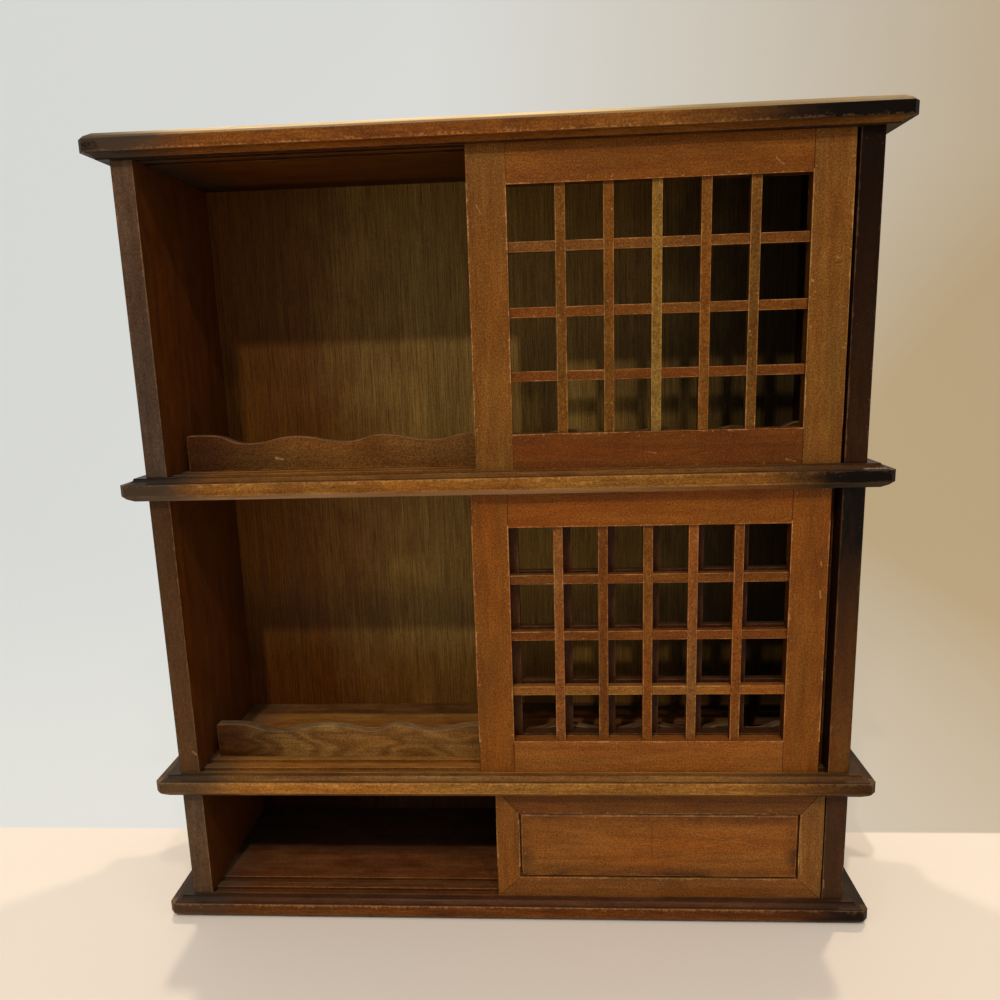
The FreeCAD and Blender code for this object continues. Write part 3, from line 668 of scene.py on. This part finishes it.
def woodMaterial(name, look):
    # the finish is built up as on the bench: plank, stain, shaded lacquer, dirt, dust, rubbing, varnish
    material, add = newMaterial(name)
    place = readPlace(add, look)
    grain = cutGrain(add, place, look)
    colour = wipeStain(add, place, grain, look)
    if look["washedAndShaded"]:
        colour = washAndShadePly(add, place, grain, colour)

    shaded = None
    if look["board"]:
        colour, shaded = toneMoulding(add, place, grain, look, colour)
    elif look["sprayed"]:
        shaded = shadeSide(add, place, grain)
        colour = add("Mix", {0: shaded, 6: colour, 7: paint(burntStain)}, data_type="RGBA")
    elif look["jointed"]:
        # painted shade: a door's inner faces are darkened, those facing up least
        facing = add("Math", {0: place["normal"][1]}, operation="ABSOLUTE")
        side = add("MapRange", {0: facing, **ramps["innerFace"]})
        top = add("MapRange", {0: place["normal"][2], **ramps["upperFace"]})
        side = add("Math", {0: side, 1: top}, operation="MULTIPLY")
        colour = tintBy(add, colour, side, innerFaceShade)
    # dirt in the joints and grooves, and on the boards also painted shade
    dirt = packDirtAndShade(add, place, grain, look) if look["board"] else packJoints(add, place, grain, look)
    colour = add("Mix", {0: dirt, 6: colour, 7: paint(oldDirtAndShade)}, data_type="RGBA")
    level = add("MapRange", {0: place["normal"][2], **ramps["lyingFace"], 4: look["dust"]})
    uneven = add("MapRange", {0: grain["cloud"], **ramps["dustUneven"]})
    level = add("Math", {0: level, 1: uneven}, operation="MULTIPLY")
    colour = add("Mix", {0: level, 6: colour, 7: paint(dust)}, data_type="RGBA")

    worn = rubBoard(add, place, grain, look) if look["board"] else rubEdges(add, place, grain, look)
    if shaded:
        kept = add("MapRange", {0: shaded, 3: 1.0, 4: look["wearInShade"]})
        worn = add("Math", {0: worn, 1: kept}, operation="MULTIPLY")
    worn, dark = drawMarks(add, place, grain, look, worn)
    if dark:
        colour = add("Mix", {0: dark, 6: colour, 7: paint(oldDirtAndShade)}, data_type="RGBA")
        free = add("Math", {0: 1.0, 1: dark}, operation="SUBTRACT")
        worn = add("Math", {0: worn, 1: free}, operation="MULTIPLY")

    pale = add("VectorMath", {0: colour, 1: wornStain["lighter"]}, operation="MULTIPLY")
    pale = add("Mix", {0: wornStain["share"], 6: pale, 7: paint(bareWood)}, data_type="RGBA")
    colour = add("Mix", {0: worn, 6: colour, 7: pale}, data_type="RGBA")

    glossy, dull = (look["roughness"] + step for step in varnish["patches"])
    shine = add("MapRange", {0: grain["cloud"], **mostOfNoise, 3: glossy, 4: dull})
    shine = add("Math", {0: worn, 1: varnish["wornDuller"], 2: shine}, operation="MULTIPLY_ADD")
    share = varnish["relief"]
    relief = add("Math", {0: grain["fibre"], 1: share["fibre"]}, operation="MULTIPLY")
    relief = add("Math", {0: grain["streak"], 1: share["streak"], 2: relief}, operation="MULTIPLY_ADD")
    relief = add("Math", {0: worn, 1: share["worn"], 2: relief}, operation="MULTIPLY_ADD")
    if look["poreDepth"]:
        relief = add("Math", {0: grain["pore"], 1: share["pore"], 2: relief}, operation="MULTIPLY_ADD")
    bump = add("Bump", {"Height": relief, "Strength": look["relief"], "Distance": varnish["depth"]})
    surface = add("BsdfPrincipled", {
        "Base Color": colour, "Roughness": shine, "Normal": bump, "IOR": varnish["ior"],
        "Specular IOR Level": look["gloss"], "Coat Weight": look["coat"], "Coat Roughness": varnish["coatRoughness"],
    })
    add("OutputMaterial", {"Surface": surface.outputs[0]})
    return material


# a pattern has its length along the grain and its width, in mm, and its depth as a share of the stain
plainLook = {
    "board": None, "washedAndShaded": False, "sprayed": False, "jointed": False, "allArris": False,
    "shadeBehindDoors": None, "leftEnd": None, "marks": (),
    "grain": "X", "sway": (150, 16), "bands": 5.0, "bandDepth": 0.05,
    "fibre": (7.0, 0.7), "fibreDepth": 0.12, "streak": (60, 3.2), "streakDepth": 0.1,
    "cloud": (34, 20), "cloudDepth": 0.14, "speck": (0.9, 0.8), "speckDepth": 0.38, "blotch": (110, 13),
    "pore": (5.0, 0.55), "poreFrom": 0.57, "poreEdge": 0.08, "poreDepth": 0.3,
    "reddening": (1.25, 1.5), "redder": (1.07, 0.95, 0.80), "greyer": (0.93, 1.02, 1.2),
    "jointDirt": 0.4, "shoulder": 0.0, "shoulderDirt": 0.7, "darkRoundFrame": 0.0, "dust": 0.03,
    "rub": (10, 8), "rough": (1.7, 1.5), "wear": 0.85, "wearWidth": 1.3, "wearInShade": 0.4,
    "roughness": 0.46, "relief": 0.3, "gloss": 0.1, "coat": 0.02,
}
# what the two moulded woods share; creamMiddle is the x round which the lowest edge is rubbed pale and lit by a
# painted highlight
mouldedLook = {
    "bandDepth": 0.1, "fibreDepth": 0.2, "speckDepth": 0.36, "cloud": (22, 9), "cloudDepth": 0.2,
    "dust": 0.05, "wearInShade": 0.35, "roughness": 0.52, "gloss": 0.08, "creamMiddle": -45.0,
}
latticeLook = {"jointed": True, "cloud": (18, 12), "speckDepth": 0.42, "wear": 0.8, "wearWidth": 0.9}
fretLook = {"allArris": True, "dust": 0.15}
# planed and moulded woods, by the piece they make; a mark has its strength, light or (below 0) dark, its two ends
# and its half width in mm
# coveKept, chamferKept: how much of the right end's shading they take; chamferToneShare: the least and most of its
# own tone, which is painted shade or sheen; creamTop: the heights between which the rubbed and lit lowest edge ends
woods = {
    # poplar board run through a moulding cutter, stained walnut, lacquer shaded at the ends: streaky along its length
    "mouldedPoplar": {
        **mouldedLook, "board": "floor", "streakDepth": 0.2,
        "insideTint": (0.85, 0.77, 0.62), "shadeBehindDoors": (0.5, 0.42, 0.35),
        "quirkDirt": 0.5, "coveDirt": 0.4, "trackDirt": 0.3, "trackWear": 0.6,
        "coveTint": (0.6, 0.56, 0.5), "leftPatch": (0.3, 0.3, 0.32),
        "coveKept": 0.7, "chamferKept": 1.0, "chamferToneShare": (0.15, 0.9), "creamTop": (2.4, 3.0),
        "marks": (
            (0.35, (-137.4, -49.8, 257.9), (-132.2, -49.8, 261.5), 0.5),
            (-0.4, (83.0, -49.8, 84.2), (84.4, -49.8, 84.2), 1.3),
        ),
    },
    "mouldedPoplarCeiling": {
        **mouldedLook, "board": "ceiling", "streakDepth": 0.18,
        "insideTint": (0.6, 0.53, 0.43),
        "quirkDirt": 0.15, "coveDirt": 1.0, "trackDirt": 0.9, "trackWear": 0.2,
        "coveTint": (1.0, 1.0, 1.1), "leftPatch": (0.9, 0.9, 0.9),
        "coveKept": 0.3, "chamferKept": 0.15, "chamferToneShare": (0.8, 0.9), "creamTop": (1.2, 1.8),
        "marks": ((-0.85, (-202.0, -49.3, 431.6), (-194.0, -49.8, 431.6), 3.2),),
    },
    # poplar side panel, planed and lacquered, its front edge sprayed dark
    "planedPoplarSide": {
        "grain": "Z", "sprayed": True, "wear": 0.8, "wearWidth": 1.4, "bandDepth": 0.08,
        "cloud": (16, 6), "cloudDepth": 0.16, "speckDepth": 0.26, "roughness": 0.4,
        "marks": (
            (0.7, (-181.1, -43.2, 103.6), (-179.5, -43.2, 102.1), 0.9),
            (0.7, (179.1, -43.2, 24.3), (179.3, -43.2, 19.8), 0.6),
            (0.7, (178.4, -43.2, 33.8), (178.5, -43.2, 31.3), 0.6),
        ),
    },
    # door frame wood, planed, stained and satin varnished: close grain under a cloudy stain
    "planedKatsuraUpright": {
        "grain": "Z", "jointed": True, "shoulder": 20.0, "wear": 1.0, "wearWidth": 1.5,
        "marks": (
            (0.5, (-6.4, -42.1, 397.6), (-4.1, -42.1, 393.2), 0.5),
            (0.7, (169.5, -42.1, 211.7), (169.9, -42.1, 209.5), 0.6),
            (0.7, (169.7, -42.1, 195.7), (170.2, -42.1, 191.8), 0.6),
            (-0.22, (165.4, -42.1, 211.7), (174.1, -42.1, 224.6), 0.7),
            (-0.22, (162.8, -42.1, 108.9), (173.4, -42.1, 126.7), 0.6),
            (0.45, (165.2, -42.2, 63.8), (166.7, -42.2, 27.2), 0.7),
            (0.35, (170.0, -42.1, 366.6), (171.5, -42.1, 366.4), 1.0),
            (-0.4, (169.8, -42.1, 363.6), (172.2, -42.1, 364.2), 0.8),
        ),
    },
    "planedKatsuraLevel": {
        "jointed": True,
        "marks": (
            (0.45, (139.1, -42.1, 413.9), (143.0, -42.1, 410.5), 0.5),
            (-0.4, (15.3, -42.1, 410.3), (18.7, -42.1, 409.2), 0.8),
            (0.45, (77.2, -42.1, 272.2), (82.9, -42.1, 271.6), 0.5),
            (0.5, (149.3, -42.1, 266.9), (153.9, -42.1, 265.8), 0.6),
        ),
    },
    # sawn and planed lattice bars: plainer, their arrises rubbed by fingers
    "latticeBarUpright": {**latticeLook, "grain": "Z", "redder": (1.1, 0.93, 0.75)},
    "latticeBarLevel": {
        **latticeLook, "dust": 0.05, "redder": (1.12, 0.92, 0.72),
        "marks": ((0.7, (114.5, -41.9, 204.2), (116.7, -41.9, 203.6), 1.0),),
    },
    # flat panel with a fine level grain and handling scratches
    "planedKatsuraPanel": {
        "cloud": (30, 16), "jointDirt": 0.6, "darkRoundFrame": 0.8,
        "marks": (
            (-0.25, (82.2, -41.9, 59.4), (82.3, -41.9, 35.2), 0.9),
            (0.3, (107.6, -41.9, 52.0), (141.5, -41.9, 44.6), 0.35),
            (0.3, (112.3, -41.9, 43.8), (133.0, -41.9, 49.6), 0.35),
        ),
    },
    # fret-sawn rails: the upper plain, the middle one crown-cut with tall figure
    "fretSawnRail": {
        **fretLook, "leftEnd": (0.3, 0.21, 0.12), "shadeBehindDoors": (0.45, 0.4, 0.35),
        "streakDepth": 0.06, "cloudDepth": 0.2, "speckDepth": 0.5, "wear": 0.4,
        "marks": ((1.0, (-124.0, -25.1, 271.2), (-120.1, -25.1, 270.5), 0.9),),
    },
    "fretSawnFiguredRail": {
        **fretLook, "leftEnd": (0.28, 0.17, 0.09), "shadeBehindDoors": (0.4, 0.34, 0.28),
        "sway": (46, 15), "bands": 7.0, "bandDepth": 0.22, "streak": (30, 2.0), "streakDepth": 0.14, "wear": 0.35,
    },
    # rotary-cut lauan plywood, wiped with stain: long open pores that stay dark
    "stainedLauanPly": {
        "grain": "Z", "washedAndShaded": True, "sway": (260, 24), "bands": 6.0, "bandDepth": 0.04,
        "streak": (200, 2.4), "streakDepth": 0.04, "fibre": (70, 0.6), "fibreDepth": 0.3,
        "pore": (20.0, 0.5), "poreFrom": 0.5, "poreDepth": 0.5, "speckDepth": 0.16, "cloudDepth": 0.02,
        "redder": (1.01, 0.99, 0.95), "greyer": (0.99, 1.01, 1.05),
        "wear": 0.0, "wearWidth": 0.2, "roughness": 0.5, "relief": 0.4,
    },
}
materials = {name: woodMaterial(name, {**plainLook, **look}) for name, look in woods.items()}
print("woods ready:", len(materials))

nailLook = {
    "steel": "4a4744", "rust": "3c2416", "bloomScale": 1400.0, "bloom": (0.45, 0.62), "relief": 0.4, "depth": 0.0001,
    "roughness": (0.42, 0.75), "metallic": (1.0, 0.1),    # clean, and under rust
}


def nailSteel():
    # drawn steel wire nail, blackened by stain and age: dull, with rust bloom
    material, add = newMaterial("blackenedWireSteel")
    place = add("TexCoord").outputs["Object"]
    bloom = add("TexNoise", {"Vector": place, "Scale": nailLook["bloomScale"], "Detail": 3.0, "Roughness": 0.6})
    start, stop = nailLook["bloom"]
    rust = add("MapRange", {0: bloom, 1: start, 2: stop})
    colour = add("Mix", {0: rust, 6: paint(nailLook["steel"]), 7: paint(nailLook["rust"])}, data_type="RGBA")
    clean, rusty = nailLook["roughness"]
    shine = add("MapRange", {0: rust, 3: clean, 4: rusty})
    clean, rusty = nailLook["metallic"]
    metal = add("MapRange", {0: rust, 3: clean, 4: rusty})
    bump = add("Bump", {"Height": bloom, "Strength": nailLook["relief"], "Distance": nailLook["depth"]})
    surface = add("BsdfPrincipled", {"Base Color": colour, "Metallic": metal, "Roughness": shine, "Normal": bump})
    add("OutputMaterial", {"Surface": surface.outputs[0]})
    return material


materials["nailSteel"] = nailSteel()


def setVector(mesh, name, value):
    layer = mesh.attributes.new(name, "FLOAT_VECTOR", "POINT")
    layer.data.foreach_set("vector", list(value) * len(mesh.vertices))


def pieceName(node):
    words = node.split("_")
    return words[0] + "".join(word.capitalize() for word in words[1:])


# points closer than this (m) are one, faces flatter than this are one, and edges sharper than this are eased
easing = {"merge": 0.000002, "flat": radians(0.6), "sharp": radians(30), "segments": 2}


def easedCopy(node, look):
    # a merged copy of the joiner's shape; its sharp edges are bevelled by a hair, as sandpaper leaves them
    source = frame["nodes"][node]
    obj = bpy.data.objects.new(pieceName(node), source.data.copy())
    bpy.context.collection.objects.link(obj)
    mesh = obj.data
    mesh.materials.clear()
    selectOnly(obj)
    bpy.ops.mesh.customdata_custom_splitnormals_clear()
    bpy.ops.object.mode_set(mode="EDIT")
    bpy.ops.mesh.select_mode(type="FACE")
    bpy.ops.mesh.select_all(action="SELECT")
    bpy.ops.mesh.remove_doubles(threshold=easing["merge"])
    bpy.ops.mesh.dissolve_limited(angle_limit=easing["flat"])
    bpy.ops.object.mode_set(mode="OBJECT")
    for polygon in mesh.polygons:
        polygon.material_index = 0
    mesh.materials.append(materials[look["wood"]])
    mesh.materials.append(materials[look["wood"]])
    bevel = obj.modifiers.new("eased", "BEVEL")
    bevel.width = look["ease"] / 1000
    bevel.segments = easing["segments"]
    bevel.limit_method = "ANGLE"
    bevel.angle_limit = easing["sharp"]
    bevel.material = 1
    bevel.harden_normals = True
    bpy.ops.object.modifier_apply(modifier=bevel.name)
    # the bevel's own faces are known by their slot, and kept as a mark for the wear
    arris = mesh.attributes.new("arris", "FLOAT", "FACE")
    arris.data.foreach_set("value", [float(polygon.material_index) for polygon in mesh.polygons])
    for polygon in mesh.polygons:
        polygon.material_index = 0
    mesh.materials.pop(index=1)
    low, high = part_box(node)
    trim = Vector(look.get("trim", (0, 0, 0)))
    setVector(mesh, "pieceLow", low * 1000 + trim)
    setVector(mesh, "pieceHigh", high * 1000 - trim)
    setVector(mesh, "stain", linear(look["stain"]))
    setVector(mesh, "rubbed", (look.get("rubbed", 1.0),) * 3)
    for name in ("burn", "burnLeft", "burnRight", "bare", "grime"):
        if name in look:
            setVector(mesh, name, look[name])
    for name in ("lacquer", "chamfer"):
        if name in look:
            setVector(mesh, name, linear(look[name]))
    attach(obj, source["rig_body"])
    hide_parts(node)
    return obj


# chamfer: its own tone; on the base and the lower shelf it is darker, painted shade on a face turned down, and on the
# top board greyer, painted sheen on a face turned up
# burnLeft, burnRight: where the end's shading starts, in mm from the middle, how wide it fades in, and how dark it
# is; the left end's shading is also greyed by a painted sheen
# bare: how far the lowest edge is rubbed pale and lit by a painted highlight, and how far the chamfer's arris and the
# fascia's arris are rubbed through
# grime: painted shade, from where in y the board is darkened, over what width, and how far; on the base it is the
# lower shelf's shadow
boards = {
    "slot": "board_wood", "ease": 0.14, "wood": "mouldedPoplar", "grime": (30, 3, 0.75),
    "pieces": {
        "base_board": {
            "stain": "572e09", "chamfer": "3f2818", "burnLeft": (150, 32, 0.65), "burnRight": (134, 56, 0.95),
            "bare": (0, 0.35, 0.75), "grime": (-6, 14, 0.85),
        },
        "lower_shelf": {
            "stain": "845720", "chamfer": "62401f", "burnLeft": (148, 32, 0.75), "burnRight": (112, 84, 0.86),
            "bare": (0, 0.5, 0.7),
        },
        "upper_shelf": {
            "stain": "754a17", "chamfer": "6f4a2a", "burnLeft": (148, 34, 0.95), "burnRight": (120, 58, 1.0),
            "bare": (0.2, 0.5, 0.6),
        },
        "top_board": {
            "wood": "mouldedPoplarCeiling", "stain": "663a0b", "chamfer": "7d6a45", "burnLeft": (140, 40, 0.95),
            "burnRight": (90, 74, 1.0), "bare": (0.85, 0.1, 0.6),
        },
    },
}
for node, look in boards["pieces"].items():
    easedCopy(node, {**boards, **look})
print("boards ready")

# lacquer: the front edge's colour; burn: how dark it is shaded at its foot and at its top
sidePanels = {
    "slot": "side_wood", "wood": "planedPoplarSide", "stain": "522b0c", "ease": 0.35, "rubbed": 0.5,
    "pieces": {
        # painted sheen: the left sides' front edges and outer faces are lighter and greyer, as they catch light
        "upper_left_side": {"lacquer": "543f2e", "burn": (0.4, 0.2, 0)},
        "middle_left_side": {"lacquer": "4c3117", "burn": (0.1, 0.3, 0)},
        "lower_left_side": {"lacquer": "503c28", "burn": (0.1, 0.1, 0)},
        # painted shade: the right sides' inner faces are stained much darker, as they stand in shade behind the doors
        "upper_right_side": {"stain": "200e05", "lacquer": "341b05", "burn": (0.35, 0.85, 0)},
        "middle_right_side": {"stain": "200e05", "lacquer": "532e08", "burn": (0.0, 1.0, 0)},
        "lower_right_side": {"stain": "200e05", "lacquer": "402610", "burn": (0.2, 0.3, 0)},
    },
}
for node, look in sidePanels["pieces"].items():
    easedCopy(node, {**sidePanels, **look})

backPanel = {"slot": "back_plywood", "wood": "stainedLauanPly", "stain": "725626", "ease": 0.1}
easedCopy("back_panel", backPanel)

wavyRails = {
    "slot": "wavy_rail_wood", "ease": 0.4,
    "pieces": {
        "upper_wavy_rail": {"wood": "fretSawnRail", "stain": "5f3b12"},
        "middle_wavy_rail": {"wood": "fretSawnFiguredRail", "stain": "6b4b22"},
    },
}
for node, look in wavyRails["pieces"].items():
    easedCopy(node, {**wavyRails, **look})
print("sides, back and wavy rails ready")

# stain of each door's parts; the bars, from the left and from the bottom, were wiped more or less
latticeDoors = {
    "upper_door": {
        "stile": "684112", "top": "663908", "bottom": "5b2f07",
        "upright": ("623c0c", "5d3809", "6e5320", "673d0c", "5b3a0e"), "level": ("5e350b", "5f360a", "633b0f"),
    },
    "middle_front_door": {
        "stile": "6c3c0b", "top": "723d0a", "bottom": "794614",
        "upright": ("70431a", "5d350b", "673a0c", "704319", "663a0d"), "level": ("784a17", "5f340a", "5e360c"),
    },
    # painted shade: stained much darker, as it stands in the shade of the front door; hardly handled
    "middle_rear_door": {
        "stile": "3e200a", "top": "3e200a", "bottom": "3e200a", "upright": ("371b09",) * 5, "level": ("371b09",) * 3,
        "rubbed": 0.3,
    },
}
for door, look in latticeDoors.items():
    rubbed = look.get("rubbed", 1.0)
    frameLook = {"slot": "door_wood", "ease": 0.3, "rubbed": rubbed}
    for side in ("left", "right"):
        easedCopy(f"{door}_{side}_stile", {**frameLook, "wood": "planedKatsuraUpright", "stain": look["stile"]})
    for rail in ("top", "bottom"):
        easedCopy(f"{door}_{rail}_rail", {**frameLook, "wood": "planedKatsuraLevel", "stain": look[rail]})
    barLook = {"slot": "lattice_wood", "ease": 0.22, "rubbed": rubbed}
    for number, stain in enumerate(look["upright"], 1):
        easedCopy(f"{door}_vertical_bar_{number}", {**barLook, "wood": "latticeBarUpright", "stain": stain})
    for number, stain in enumerate(look["level"], 1):
        easedCopy(f"{door}_horizontal_bar_{number}", {**barLook, "wood": "latticeBarLevel", "stain": stain})
print("lattice doors ready")

# trim: the part of the panel's box that the frame hides
panelDoors = {
    "left_stile": {"wood": "planedKatsuraUpright", "stain": "704415"},
    "right_stile": {"wood": "planedKatsuraUpright", "stain": "6d471c"},
    # painted shade: the top rail is stained darker, as it lies in the shadow of the shelf above
    "top_rail": {"wood": "planedKatsuraLevel", "stain": "5f3711"},
    "bottom_rail": {"wood": "planedKatsuraLevel", "stain": "6b4018"},
    "panel": {
        "slot": "panel_wood", "ease": 0.15, "wood": "planedKatsuraPanel", "stain": "7a4817", "trim": (3.5, 0, 3.5),
    },
}
for door in ("lower_front_door", "lower_rear_door"):
    for part, look in panelDoors.items():
        easedCopy(f"{door}_{part}", {"slot": "door_wood", "ease": 0.25, **look})
print("panel doors ready")

nails = frame["nodes"]["back_nails"]
nails.data.materials.clear()
nails.data.materials.append(materials["nailSteel"])

print("scene ready")
